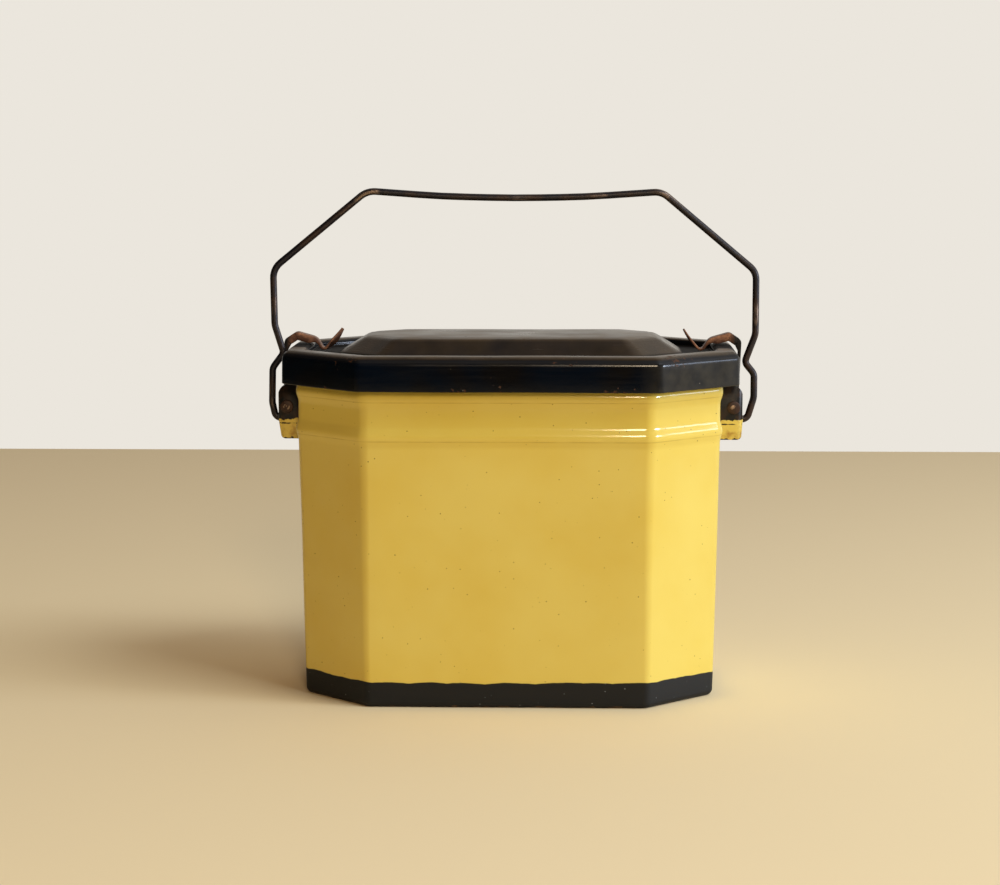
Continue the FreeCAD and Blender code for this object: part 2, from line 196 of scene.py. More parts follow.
def blackEnamel():
    look = blackLook
    material, tree, shader = newMaterial("black vitreous enamel, dipped and worn")
    coords = addNode(tree, "TexCoord", {}).outputs
    point = coords["Object"]
    height = addNode(tree, "SeparateXYZ", {0: point}).outputs[2]
    up = addNode(tree, "SeparateXYZ", {0: coords["Normal"]}).outputs[2]
    wear = addNode(tree, "Attribute", {}, attribute_name="wear").outputs["Fac"]
    cloud = addNode(tree, "TexNoise", {"Vector": point, "Scale": perMetre(look["cloudSize"]), "Detail": 4.0})
    cloudShare = addNode(tree, "MapRange", {0: cloud, 1: look["cloudFrom"], 2: look["cloudTo"]})
    skin = addNode(tree, "Mix", {0: cloudShare, 6: look["black"], 7: look["brown"]}, data_type="RGBA")
    # dust and painted reflection: a brown film on what faces up, partly dust and partly the warm sheen that
    # upper faces catch
    upFacing = addNode(tree, "MapRange", {0: up, 1: look["dustSheenTilt"], 4: look["dustSheenShare"]})
    film = addNode(tree, "TexNoise", {"Vector": point, "Scale": perMetre(look["dustSheenSize"]), "Detail": 4.0})
    patchy = addNode(tree, "MapRange", {
        0: film, 1: look["dustSheenFrom"], 2: look["dustSheenTo"], 3: look["dustSheenThin"], 4: look["dustSheenThick"]})
    dustAndSheen = addNode(tree, "Math", {0: upFacing, 1: patchy}, operation="MULTIPLY")
    skin = addNode(tree, "Mix", {0: dustAndSheen, 6: skin, 7: look["dustAndSheen"]}, data_type="RGBA")
    # grime and painted shade: darker in the sunken channel and under the clips at the ends of the rim, where
    # they shade it
    sunken = addNode(tree, "MapRange", {0: height, 1: look["grimeShadeTop"] * mm, 2: look["grimeShadeFrom"] * mm})
    spread = addNode(tree, "VectorMath", {0: point}, operation="ABSOLUTE")
    spread = addNode(tree, "SeparateXYZ", {0: spread}).outputs
    start, half = look["clipFrom"] * mm, look["clipHalf"] * mm
    atEnd = addNode(tree, "MapRange", {0: spread[0], 1: start, 2: start + look["clipFade"] * mm})
    underClip = addNode(tree, "MapRange", {0: spread[1], 1: half + look["clipSideFade"] * mm, 2: half})
    rubbed = addNode(tree, "Math", {0: atEnd, 1: underClip}, operation="MULTIPLY")
    grimeAndShade = addNode(tree, "Math", {0: sunken, 1: rubbed}, operation="MAXIMUM")
    faceUp = addNode(tree, "MapRange", {0: up, 1: look["grimeShadeTilt"], 2: look["grimeShadeFlat"]})
    grimeAndShade = addNode(tree, "Math", {0: grimeAndShade, 1: faceUp}, operation="MULTIPLY")
    skin = addNode(tree, "Mix", {0: grimeAndShade, 6: skin, 7: look["grimeAndShade"]}, data_type="RGBA")
    # painted reflection and scuffing: one front corner of the skirt is greyed, standing in for the sheen it
    # catches from the right
    corner, reach = [v * mm for v in look["scuffSheenAt"]], look["scuffSheenReach"] * mm
    away = addNode(tree, "VectorMath", {0: point, 1: corner}, operation="DISTANCE")
    nearby = addNode(tree, "MapRange", {
        0: away, 1: reach, 2: reach * look["scuffSheenCore"], 4: look["scuffSheenShare"]})
    mottle = addNode(tree, "TexNoise", {"Vector": point, "Scale": perMetre(look["scuffSheenSize"]), "Detail": 5.0})
    mottled = addNode(tree, "MapRange", {
        0: mottle, 1: look["scuffSheenFrom"], 2: look["scuffSheenTo"], 3: look["scuffSheenLeast"]})
    upright = addNode(tree, "MapRange", {0: up, 1: look["scuffSheenTilt"], 2: look["scuffSheenUpright"]})
    scuffAndSheen = addNode(tree, "Math", {0: nearby, 1: mottled}, operation="MULTIPLY")
    scuffAndSheen = addNode(tree, "Math", {0: scuffAndSheen, 1: upright}, operation="MULTIPLY")
    skin = addNode(tree, "Mix", {0: scuffAndSheen, 6: skin, 7: look["scuffAndSheen"]}, data_type="RGBA")
    # pale flecks where grit sat in the glaze
    cells = addNode(tree, "TexVoronoi", {"Vector": point, "Scale": perMetre(look["fleckCell"])}).outputs
    luck = addNode(tree, "SeparateColor", {0: cells["Color"]})
    largest = look["fleckRadius"] / look["fleckCell"]
    radius = addNode(tree, "MapRange", {0: luck, 1: 1 - look["fleckShare"], 3: tooSmall, 4: largest})
    fleck = addNode(tree, "MapRange", {0: cells["Distance"], 1: radius, 2: 0.0})
    skin = addNode(tree, "Mix", {0: fleck, 6: skin, 7: look["fleck"]}, data_type="RGBA")
    # chips: most on the bends, where the wear value is high
    chips = addNode(tree, "TexNoise", {"Vector": point, "Scale": perMetre(look["chipSize"]), "Detail": 4.0})
    areas = addNode(tree, "TexNoise", {"Vector": point, "Scale": perMetre(look["patchSize"]), "Detail": 1.0})
    grain = addNode(tree, "Math", {0: chips, 1: areas})
    worn = addNode(tree, "Math", {0: wear, 1: look["bendWear"], 2: grain}, operation="MULTIPLY_ADD")
    chip = addNode(tree, "MapRange", {0: worn, 1: look["chipFrom"], 2: look["chipTo"]})
    rust = addNode(tree, "Mix", {0: chips, 6: look["rust"], 7: look["rustPale"]}, data_type="RGBA")
    skin = addNode(tree, "Mix", {0: chip, 6: skin, 7: rust}, data_type="RGBA")
    # rubbed haze in the gloss, drawn out along the box
    long, short = perMetre(look["rubLong"]), perMetre(look["rubShort"])
    stretched = addNode(tree, "Mapping", {"Vector": point, "Scale": (long, long, short)})
    rub = addNode(tree, "TexNoise", {"Vector": stretched, "Scale": 1.0, "Detail": 3.0})
    gloss = addNode(tree, "MapRange", {
        0: rub, 1: look["rubFrom"], 2: look["rubTo"], 3: look["roughness"], 4: look["hazeRoughness"]})
    gloss = addNode(tree, "Math", {0: dustAndSheen, 1: look["dustSheenRoughness"], 2: gloss}, operation="MULTIPLY_ADD")
    gloss = addNode(tree, "MapRange", {0: grimeAndShade, 3: gloss, 4: look["grimeShadeRoughness"]})
    gloss = addNode(tree, "MapRange", {0: chip, 3: gloss, 4: look["rustRoughness"]})
    peel = addNode(tree, "TexNoise", {"Vector": point, "Scale": perMetre(look["peelSize"]), "Detail": 2.0})
    sunk = addNode(tree, "Math", {0: chip, 1: look["chipSunk"], 2: peel}, operation="MULTIPLY_ADD")
    bump = addNode(tree, "Bump", {"Height": sunk, "Distance": look["peelDepth"] * mm})
    feed(tree, shader, {
        "Base Color": skin, "Roughness": gloss, "Normal": bump,
        "IOR": look["ior"], "Specular IOR Level": look["mirror"]})
    return material


# drawn iron wire, blackened and handled: dark skin with brown patches and rubbed streaks

wireLook = {
    "black": "#16131a", "brown": "#2f2019", "patchSize": 9.0, "patchFrom": 0.45, "patchTo": 0.62,
    "bare": "#8d7b6f", "streakLong": 14.0, "streakShort": 0.7,
    "rubbedFrom": 0.6, "rubbedTo": 0.72, "bendRub": 0.13,
    "roughness": 0.42, "bareRoughness": 0.3, "metal": 0.35, "bareMetal": 1.0,
    "pitSize": 0.9, "pitDepth": 0.05,
}


def blackenedWire():
    look = wireLook
    material, tree, shader = newMaterial("drawn iron wire, blackened and handled")
    point = addNode(tree, "TexCoord", {}).outputs["Object"]
    patch = addNode(tree, "TexNoise", {"Vector": point, "Scale": perMetre(look["patchSize"]), "Detail": 4.0})
    patchShare = addNode(tree, "MapRange", {0: patch, 1: look["patchFrom"], 2: look["patchTo"]})
    skin = addNode(tree, "Mix", {0: patchShare, 6: look["black"], 7: look["brown"]}, data_type="RGBA")
    # the wire lies in one plane, so streaks that change quickly across it run along it
    long, short = perMetre(look["streakLong"]), perMetre(look["streakShort"])
    stretched = addNode(tree, "Mapping", {"Vector": point, "Scale": (long, short, long)})
    streak = addNode(tree, "TexNoise", {"Vector": stretched, "Scale": 1.0, "Detail": 4.0})
    wear = addNode(tree, "Attribute", {}, attribute_name="wear").outputs["Fac"]
    streak = addNode(tree, "Math", {0: wear, 1: look["bendRub"], 2: streak}, operation="MULTIPLY_ADD")
    bare = addNode(tree, "MapRange", {0: streak, 1: look["rubbedFrom"], 2: look["rubbedTo"]})
    skin = addNode(tree, "Mix", {0: bare, 6: skin, 7: look["bare"]}, data_type="RGBA")
    gloss = addNode(tree, "MapRange", {0: bare, 3: look["roughness"], 4: look["bareRoughness"]})
    metal = addNode(tree, "MapRange", {0: bare, 3: look["metal"], 4: look["bareMetal"]})
    pits = addNode(tree, "TexNoise", {"Vector": point, "Scale": perMetre(look["pitSize"]), "Detail": 3.0})
    bump = addNode(tree, "Bump", {"Height": pits, "Distance": look["pitDepth"] * mm})
    feed(tree, shader, {"Base Color": skin, "Roughness": gloss, "Metallic": metal, "Normal": bump})
    return material


# spring steel strip, rolled, its black skin rubbed to a brown rust where fingers and the rim meet it

springLook = {
    "black": "#15110f", "brown": "#5a3a2a", "pale": "#94694e",
    "patchSize": 3.4, "paleFrom": 0.42, "paleTo": 0.66, "blackFrom": 92.2, "brownTo": 90.0, "ragged": 2.4,
    "rollLong": 6.0, "rollShort": 0.45, "rollFrom": 0.3, "rollTo": 0.7,
    "smooth": 0.38, "rough": 0.65, "metal": 0.45, "pitSize": 0.8, "pitDepth": 0.06,
}


def brownedSpring():
    look = springLook
    material, tree, shader = newMaterial("spring steel strip, rolled and rust-browned")
    point = addNode(tree, "TexCoord", {}).outputs["Object"]
    # the leg outside the lid stays black
    out = addNode(tree, "SeparateXYZ", {0: point})
    out = addNode(tree, "Math", {0: out}, operation="ABSOLUTE")
    patch = addNode(tree, "TexNoise", {"Vector": point, "Scale": perMetre(look["patchSize"]), "Detail": 4.0})
    ragged = addNode(tree, "Math", {0: patch, 1: look["ragged"] * mm, 2: out}, operation="MULTIPLY_ADD")
    shift = look["ragged"] / 2
    start, end = (look["blackFrom"] + shift) * mm, (look["brownTo"] + shift) * mm
    rubbed = addNode(tree, "MapRange", {0: ragged, 1: start, 2: end})
    paleShare = addNode(tree, "MapRange", {0: patch, 1: look["paleFrom"], 2: look["paleTo"]})
    brown = addNode(tree, "Mix", {0: paleShare, 6: look["brown"], 7: look["pale"]}, data_type="RGBA")
    skin = addNode(tree, "Mix", {0: rubbed, 6: look["black"], 7: brown}, data_type="RGBA")
    # rolling marks run along the strip, across its width they change quickly
    long, short = perMetre(look["rollLong"]), perMetre(look["rollShort"])
    stretched = addNode(tree, "Mapping", {"Vector": point, "Scale": (long, short, long)})
    marks = addNode(tree, "TexNoise", {"Vector": stretched, "Scale": 1.0, "Detail": 3.0})
    gloss = addNode(tree, "MapRange", {
        0: marks, 1: look["rollFrom"], 2: look["rollTo"], 3: look["smooth"], 4: look["rough"]})
    pits = addNode(tree, "TexNoise", {"Vector": point, "Scale": perMetre(look["pitSize"]), "Detail": 3.0})
    relief = addNode(tree, "Math", {0: marks, 1: pits})
    bump = addNode(tree, "Bump", {"Height": relief, "Distance": look["pitDepth"] * mm})
    feed(tree, shader, {"Base Color": skin, "Roughness": gloss, "Metallic": look["metal"], "Normal": bump})
    return material


# sheet iron bracket, enamelled: the same yellow glass, broken off to dark iron on its edges, and dark over
# its round lugs under the skirt, partly bare iron and partly painted shade

bracketLook = {
    "yellow": "#d6bf5c", "stain": "#a5803a", "iron": "#0d0d0f", "rust": "#2b1d14",
    # the dark iron from the height that follows upward is partly bare iron and partly painted shade under the
    # skirt
    "shadedIronFrom": 111.0, "ragged": 3.2, "edgeSoft": 0.15,
    "flakeSize": 2.4, "flakeFrom": 0.74, "flakeTo": 0.78, "toeFrom": 103.0, "toeTo": 104.2, "toeLift": 0.4,
    "crackAt": 109.4, "crackWide": 0.3, "crackFrom": 0.4, "crackTo": 0.6,
    "stainSize": 3.6, "stainFrom": 0.52, "stainTo": 0.75, "rustFrom": 0.45, "rustTo": 0.6,
    "roughness": 0.2, "ironRoughness": 0.4, "ior": 1.5, "mirror": 0.32,
    "pitSize": 0.8, "pitDepth": 0.05, "ironSunk": -2.0,
}


def chippedBracket():
    look = bracketLook
    material, tree, shader = newMaterial("sheet iron bracket, enamelled yellow and chipped")
    point = addNode(tree, "TexCoord", {}).outputs["Object"]
    height = addNode(tree, "SeparateXYZ", {0: point}).outputs[2]
    flake = addNode(tree, "TexNoise", {"Vector": point, "Scale": perMetre(look["flakeSize"]), "Detail": 3.0})
    # painted shade and bare iron: the bracket goes dark from a ragged line upward, under the lid's skirt
    ragged = addNode(tree, "Math", {0: flake, 1: look["ragged"] * mm, 2: height}, operation="MULTIPLY_ADD")
    edge, soft = (look["shadedIronFrom"] + look["ragged"] / 2) * mm, look["edgeSoft"] * mm
    shadedBareTop = addNode(tree, "MapRange", {0: ragged, 1: edge - soft, 2: edge + soft})
    toe = addNode(tree, "MapRange", {
        0: height, 1: look["toeTo"] * mm, 2: look["toeFrom"] * mm, 4: look["toeLift"]})
    worn = addNode(tree, "Math", {0: toe, 1: flake})
    bareEdge = addNode(tree, "MapRange", {0: worn, 1: look["flakeFrom"], 2: look["flakeTo"]})
    # a short crack runs across the glass below the lugs
    offCrack = addNode(tree, "Math", {0: height, 1: look["crackAt"] * mm}, operation="SUBTRACT")
    offCrack = addNode(tree, "Math", {0: offCrack}, operation="ABSOLUTE")
    thin = addNode(tree, "MapRange", {
        0: flake, 1: look["crackFrom"], 2: look["crackTo"], 4: look["crackWide"] * mm})
    crack = addNode(tree, "Math", {0: offCrack, 1: thin}, operation="LESS_THAN")
    bare = addNode(tree, "Math", {0: shadedBareTop, 1: bareEdge}, operation="MAXIMUM")
    bare = addNode(tree, "Math", {0: bare, 1: crack}, operation="MAXIMUM")
    stain = addNode(tree, "TexNoise", {"Vector": point, "Scale": perMetre(look["stainSize"]), "Detail": 3.0})
    stainShare = addNode(tree, "MapRange", {0: stain, 1: look["stainFrom"], 2: look["stainTo"]})
    glass = addNode(tree, "Mix", {0: stainShare, 6: look["yellow"], 7: look["stain"]}, data_type="RGBA")
    rustShare = addNode(tree, "MapRange", {0: stain, 1: look["rustFrom"], 2: look["rustTo"]})
    iron = addNode(tree, "Mix", {0: rustShare, 6: look["iron"], 7: look["rust"]}, data_type="RGBA")
    skin = addNode(tree, "Mix", {0: bare, 6: glass, 7: iron}, data_type="RGBA")
    gloss = addNode(tree, "MapRange", {0: bare, 3: look["roughness"], 4: look["ironRoughness"]})
    pits = addNode(tree, "TexNoise", {"Vector": point, "Scale": perMetre(look["pitSize"]), "Detail": 2.0})
    sunk = addNode(tree, "Math", {0: bare, 1: look["ironSunk"], 2: pits}, operation="MULTIPLY_ADD")
    bump = addNode(tree, "Bump", {"Height": sunk, "Distance": look["pitDepth"] * mm})
    feed(tree, shader, {
        "Base Color": skin, "Roughness": gloss, "Normal": bump,
        "IOR": look["ior"], "Specular IOR Level": look["mirror"]})
    return material


# soft iron rivet, hammered over: dark rust with a rubbed crown

rivetLook = {
    "dark": "#1a1310", "rust": "#4a2f22", "rubbed": "#a08a78",
    "patchSize": 1.6, "crownFrom": 0.47, "crownTo": 0.6, "roughness": 0.55, "rubbedRoughness": 0.32,
    "metal": 0.4, "rubbedMetal": 1.0, "dentSize": 1.2, "dentDepth": 0.12,
}


def hammeredRivet():
    look = rivetLook
    material, tree, shader = newMaterial("soft iron rivet, hammered over and rusted")
    point = addNode(tree, "TexCoord", {}).outputs["Object"]
    wear = addNode(tree, "Attribute", {}, attribute_name="wear").outputs["Fac"]
    patch = addNode(tree, "TexNoise", {"Vector": point, "Scale": perMetre(look["patchSize"]), "Detail": 4.0})
    rust = addNode(tree, "Mix", {0: patch, 6: look["dark"], 7: look["rust"]}, data_type="RGBA")
    crown = addNode(tree, "Math", {0: wear, 1: patch}, operation="MULTIPLY")
    rubbed = addNode(tree, "MapRange", {0: crown, 1: look["crownFrom"], 2: look["crownTo"]})
    skin = addNode(tree, "Mix", {0: rubbed, 6: rust, 7: look["rubbed"]}, data_type="RGBA")
    gloss = addNode(tree, "MapRange", {0: rubbed, 3: look["roughness"], 4: look["rubbedRoughness"]})
    metal = addNode(tree, "MapRange", {0: rubbed, 3: look["metal"], 4: look["rubbedMetal"]})
    dents = addNode(tree, "TexNoise", {"Vector": point, "Scale": perMetre(look["dentSize"]), "Detail": 2.0})
    bump = addNode(tree, "Bump", {"Height": dents, "Distance": look["dentDepth"] * mm})
    feed(tree, shader, {"Base Color": skin, "Roughness": gloss, "Metallic": metal, "Normal": bump})
    return material


# lines, rings and skins

def bentLine(corners, arcStep=9.0, runStep=8.0):
    # corners are (a, b, radius, wear); bends become arcs, and long straights are divided
    bends = []
    last = len(corners) - 1
    for k, (a, b, radius, wear) in enumerate(corners):
        here = Vector((a, b))
        if radius == 0 or k in (0, last):
            bends.append((here, wear))
            continue
        before, after = Vector(corners[k - 1][:2]), Vector(corners[k + 1][:2])
        back, ahead = (before - here).normalized(), (after - here).normalized()
        halfAngle = back.angle(ahead) / 2
        start = here + back * radius / math.tan(halfAngle)
        centre = here + (back + ahead).normalized() * radius / math.sin(halfAngle)
        turn = math.pi - 2 * halfAngle
        if back.x * ahead.y > back.y * ahead.x:
            turn = -turn
        steps = max(2, math.ceil(math.degrees(abs(turn)) / arcStep))
        for step in range(steps + 1):
            bends.append((centre + Matrix.Rotation(turn * step / steps, 2) @ (start - centre), wear))
    line = bends[:1]
    for (p, _), (q, wear) in zip(bends, bends[1:]):
        pieces = max(1, math.ceil((q - p).length / runStep))
        line += [(p.lerp(q, step / pieces), 0.0) for step in range(1, pieces)]
        line.append((q, wear))
    return line


def heading(points, k):
    # the way that a line runs at its point k
    return (points[min(k + 1, len(points) - 1)] - points[max(k - 1, 0)]).normalized()


def roundTurns(sides):
    return [2 * math.pi * side / sides for side in range(sides)]


# every octagon is divided alike, so that any two rings join
octagonSteps = {"corner": 7, "sides": (5, 16, 5, 8), "tightest": 0.8}


def octagonRing(outline, grow, height):
    # a rounded octagon, moved outward by grow
    x, y = outline["halfLong"] + grow, outline["halfWide"] + grow
    cut = outline["cut"] + grow * (2 - math.sqrt(2))
    radius = max(outline["corner"] + grow * outline["spread"], octagonSteps["tightest"])
    halfTurn = [(x, y - cut), (x - cut, y), (cut - x, y), (-x, y - cut)]
    corners = [Vector(c) for c in halfTurn] + [-Vector(c) for c in halfTurn]
    eighth = math.pi / 4
    run = radius * math.tan(eighth / 2)
    ring = []
    for k, corner in enumerate(corners):
        after = corners[(k + 1) % 8]
        back, ahead = (corners[k - 1] - corner).normalized(), (after - corner).normalized()
        start = corner + back * run
        centre = corner + (back + ahead).normalized() * radius / math.cos(eighth / 2)
        for step in range(octagonSteps["corner"] + 1):
            spoke = Matrix.Rotation(eighth * step / octagonSteps["corner"], 2) @ (start - centre)
            ring.append(centre + spoke)
        pieces = octagonSteps["sides"][k % 4]
        end, onward = ring[-1], after - ahead * run
        ring += [end.lerp(onward, step / pieces) for step in range(1, pieces)]
    return [Vector((p.x, p.y, height)) for p in ring]


swayLook = {"length": 46.0, "depth": 0.32, "fadeFrom": 2.0, "fadeTo": 26.0, "drawIn": 0.0045, "seed": 5}

# a fixed seed, or the drift would follow the clock and differ in every run
noise.seed_set(swayLook["seed"])


def sway(p):
    # pressed sheet is never quite flat: the same slow drift moves the shell and the lid
    drift = noise.noise_vector(p / swayLook["length"]) * swayLook["depth"]
    rise = (p.z - swayLook["fadeFrom"]) / (swayLook["fadeTo"] - swayLook["fadeFrom"])
    drift.z *= min(max(rise, 0.0), 1.0)
    drift.y -= swayLook["drawIn"] * p.y
    return p + drift


skinLook = {"weld": 1e-7, "sharpFrom": 38}      # metres and degrees


def skinRings(name, rings, material):
    # rings are (points, wear); quads between them, a cap at each end, and points at one place are joined
    bm = bmesh.new()
    wearLayer = bm.verts.layers.float.new("wear")
    rows = []
    for points, wear in rings:
        row = [bm.verts.new(p * mm) for p in points]
        for vert in row:
            vert[wearLayer] = wear
        rows.append(row)
    count = len(rows[0])
    for low, high in zip(rows, rows[1:]):
        for k in range(count):
            after = (k + 1) % count
            bm.faces.new((low[k], low[after], high[after], high[k]))
    bm.faces.new(rows[0][::-1])
    bm.faces.new(rows[-1])
    bmesh.ops.remove_doubles(bm, verts=bm.verts, dist=skinLook["weld"])
    bmesh.ops.recalc_face_normals(bm, faces=bm.faces)
    mesh = bpy.data.meshes.new(name)
    bm.to_mesh(mesh)
    bm.free()
    mesh.shade_smooth()
    mesh.set_sharp_from_angle(angle=math.radians(skinLook["sharpFrom"]))
    mesh.materials.append(material)
    piece = bpy.data.objects.new(name, mesh)
    scene.collection.objects.link(piece)
    return piece


def seat(piece, body, node):
    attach(piece, body)
    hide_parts(node)


def handed(rings, side):
    return [([Vector((p.x * side, p.y, p.z)) for p in points], wear) for points, wear in rings]


# shell: one drawn sheet from the raised floor round the foot, up the wall, over two beads and a rolled rim

shellShape = {
    "halfLong": 85.0, "halfWide": 52.5, "cut": 28.3, "corner": 6.5, "spread": 1.0, "sheet": 1.0,
    "floorEdge": -40.0, "floorRadius": 1.2, "footRise": 1.4, "footInset": 6.2, "footRadius": 0.8,
    "draft": 2.12, "baseRadius": 2.5, "baseInnerRadius": 2.4,
    "neck": 104.4, "beadHeight": 8.0, "beadRise": 1.3, "beadSpacing": 15.6,
    "crestRadius": 5.0, "rootRadius": 6.0,
    "rimTop": 139.5, "rollRadius": 2.3, "rollRoot": 0.5,
}


def shellRings():
    s = shellShape
    sheet, roll = s["sheet"], 2 * s["rollRadius"]
    foot = s["footInset"] + s["footRise"]
    line = [
        (s["floorEdge"], s["footRise"], 0, 0), (-foot, s["footRise"], s["floorRadius"], 0),
        (-s["footInset"], 0.0, s["footRadius"], 0), (-s["draft"], 0.0, s["baseRadius"], 1.0),
    ]
    beads = []
    for low in (s["neck"], s["neck"] + s["beadSpacing"]):
        beads += [
            (0.0, low, s["rootRadius"]), (s["beadRise"], low + s["beadHeight"] / 2, s["crestRadius"]),
            (0.0, low + s["beadHeight"], s["rootRadius"]),
        ]
    line += [(grow, z, radius, 0) for grow, z, radius in beads]
    # the rim rolls outward
    line += [
        (0.0, s["rimTop"] - roll, s["rollRoot"], 0), (roll - sheet, s["rimTop"] - roll, s["rollRadius"], 0),
        (roll - sheet, s["rimTop"], s["rollRadius"], 0), (-sheet, s["rimTop"], s["rollRadius"], 0),
    ]
    # and back down the inside
    line += [(grow - sheet, z, radius, 0) for grow, z, radius in reversed(beads)]
    line += [
        (-s["draft"] - sheet, s["footRise"] + sheet, s["baseInnerRadius"], 0),
        (s["floorEdge"], s["footRise"] + sheet, 0, 0),
    ]
    return [([sway(p) for p in octagonRing(s, at.x, at.y)], wear) for at, wear in bentLine(line)]


# lid: a rim that straddles the roll, a sunken channel and a raised panel, all one pressing

lidShape = {
    "halfLong": 85.0, "halfWide": 52.5, "cut": 28.3, "corner": 3.0, "spread": 0.2, "sheet": 1.0,
    "skirt": 6.8, "skirtBottom": 127.0, "hemRadius": 0.45, "top": 140.8, "plug": -2.75,
    "rimRadius": 4.0, "rimInnerRadius": 2.0, "rootRadius": 1.1, "channel": 137.6, "channelEdge": -5.2,
    "slip": (0.5, 0.0, 0.0),      # the lid has some play on the rim and sits a little to the right
}
panelShape = {
    "halfLong": 58.0, "halfWide": 25.0, "cut": 12.5, "corner": 5.0, "spread": 0.4,
    "middle": -18.0, "top": 146.0, "crown": 0.35, "edgeRadius": 6.5, "rootRadius": 3.0, "lead": 2.0,
    "runOut": 4.4,      # the end slopes run out further than the long ones
}


def lidRings():
    s, p = lidShape, panelShape
    sheet = s["sheet"]
    rise = p["top"] - s["channel"]
    inside = sheet * math.tan(math.pi / 8)      # how far a 45 degree bend shifts on the other face
    upper = [
        (p["middle"], p["top"], 0, 0), (0.0, p["top"], p["edgeRadius"], 0.55),
        (rise, s["channel"], p["rootRadius"], 0), (rise + p["lead"], s["channel"], 0, 0),
    ]
    rim = [
        (s["channelEdge"], s["channel"], 0, 0), (s["plug"], s["channel"], s["rootRadius"], 0),
        (s["plug"], s["top"], s["rimInnerRadius"], 0.5), (s["skirt"], s["top"], s["rimRadius"], 1.0),
        (s["skirt"], s["skirtBottom"], s["hemRadius"], 0.9),
        (s["skirt"] - sheet, s["skirtBottom"], s["hemRadius"], 0.9),
        (s["skirt"] - sheet, s["top"] - sheet, s["rimRadius"] - sheet, 0),
        (s["plug"] + sheet, s["top"] - sheet, s["rimInnerRadius"] - sheet, 0),
        (s["plug"] + sheet, s["channel"] - sheet, s["rootRadius"] + sheet, 0),
        (s["channelEdge"], s["channel"] - sheet, 0, 0),
    ]
    under = [
        (rise + p["lead"], s["channel"] - sheet, 0, 0),
        (rise - inside, s["channel"] - sheet, p["rootRadius"] + sheet, 0),
        (-inside, p["top"] - sheet, p["edgeRadius"] - sheet, 0), (p["middle"], p["top"] - sheet, 0, 0),
    ]
    rings = []
    for outline, corners in ((p, upper), (s, rim), (p, under)):
        for at, wear in bentLine(corners):
            ring = octagonRing(outline, at.x, at.y)
            if outline is p and at.x < 0:
                crown = p["crown"] * (1 - (1 + at.x / -p["middle"]) ** 2)
                ring = [q + Vector((0, 0, crown - p["crown"])) for q in ring]
            if outline is p and at.x > 0:
                stretch = 1 + p["runOut"] * min(at.x / rise, 1.0) / p["halfLong"]
                ring = [Vector((q.x * stretch, q.y, q.z)) for q in ring]
            rings.append(([sway(q) + Vector(s["slip"]) for q in ring], wear))
    return rings


# bail: one round wire, bent in a plane, its ends turned into the brackets

bailShape = {
    "radius": 1.42, "sides": 20, "tremor": 0.02, "tremorLength": 7.0,
    # from the right bracket over the grip to the left one: x, z, bend radius and how rubbed the bend is
    # bent by hand, so the sides differ
    "route": (
        (91.0, 110.5, 0, 0), (97.2, 110.5, 3.0, 0), (99.9, 119.5, 8.0, 0), (99.9, 129.2, 4.0, 0),
        (96.0, 134.0, 3.0, 0), (100.3, 145.5, 8.0, 0), (100.3, 171.0, 7.0, 0.6), (61.6, 203.5, 8.0, 1.0),
        (30.0, 201.4, 400.0, 0), (1.5, 200.9, 500.0, 0), (-28.0, 201.6, 400.0, 0.4), (-58.6, 203.8, 9.0, 1.0),
        (-97.4, 172.0, 8.0, 0.3), (-97.0, 149.0, 8.0, 0), (-93.4, 137.4, 3.0, 0), (-98.0, 131.2, 4.5, 0),
        (-98.3, 117.0, 6.0, 0), (-96.9, 110.5, 3.0, 0), (-91.0, 110.5, 0, 0),
    ),
    "arcStep": 8.0, "runStep": 5.0,
}


def bailRings():
    s = bailShape
    line = bentLine(s["route"], s["arcStep"], s["runStep"])
    points = [at for at, wear in line]
    turns = roundTurns(s["sides"])
    rings = []
    for k, (at, wear) in enumerate(line):
        ahead = heading(points, k)
        outward, across = Vector((-ahead.y, 0, ahead.x)), Vector((0, 1, 0))
        centre = Vector((at.x, 0, at.y))
        radius = s["radius"] - s["tremor"] * (1 + noise.noise(centre / s["tremorLength"]))
        ring = [centre + radius * (math.cos(t) * outward + math.sin(t) * across) for t in turns]
        rings.append((ring, wear))
    return rings


# bent strips: the clips and the brackets are flat strip with softened edges

stripEdge = {"soften": 0.3, "thickest": 1.0}     # share of the thickness, counted up to the thickest


def stripSection(origin, across, outward, low, high, thickness, lip, lipWidth):
    # a strip's section, with edges turned in by lip on the inner face
    e = stripEdge["soften"] * min(thickness, stripEdge["thickest"])
    c = stripEdge["soften"] * e
    t = thickness / 2
    right = [
        (high - e, t), (high - c, t - c), (high, t - e), (high, e - t - lip), (high - c, c - t - lip),
        (high - e, -t - lip), (high - lipWidth, -t - lip), (high - lipWidth, -t),
    ]
    left = [(low + high - a, n) for a, n in reversed(right)]
    return [origin + across * a + outward * n for a, n in right + left]


# clip: an eye curled round the pin, a leg up the skirt, a bridge over the rim, a nose and a finger tab

clipShape = {
    "strip": 1.0, "near": 1.8, "far": 8.2, "eyeSide": -8.2, "lip": 2.2, "lipWidth": 0.9, "flat": 0.02,
    "pinLong": 91.2, "pinHeight": 116.2, "eyeRadius": 2.6, "curlLap": 0.6, "stepHeight": 118.6, "slack": 0.01,
    "shoulder": (93.8, 142.8), "crest": (88.9, 146.0), "brow": (80.4, 143.6), "nose": (77.5, 138.8),
    "tip": (70.1, 147.4), "bendRadius": 2.4, "browRadius": 5.0, "noseRadius": 1.0,
    "arcStep": 8.0, "runStep": 1.2, "lipFrom": 138.0, "lipGrows": 4.2, "lipFades": 5.0,
    "tabLength": 11.3, "tabBow": 0.5, "tabTaper": 1.5, "tipWidth": 1.8, "tipThickness": 0.55,
    "lean": {"right": 1.0, "left": -0.5},       # how far the lid pushes each leg outward at its top
    "twist": {"right": 8.0, "left": 26.0},      # the finger tabs have been bent by use
}


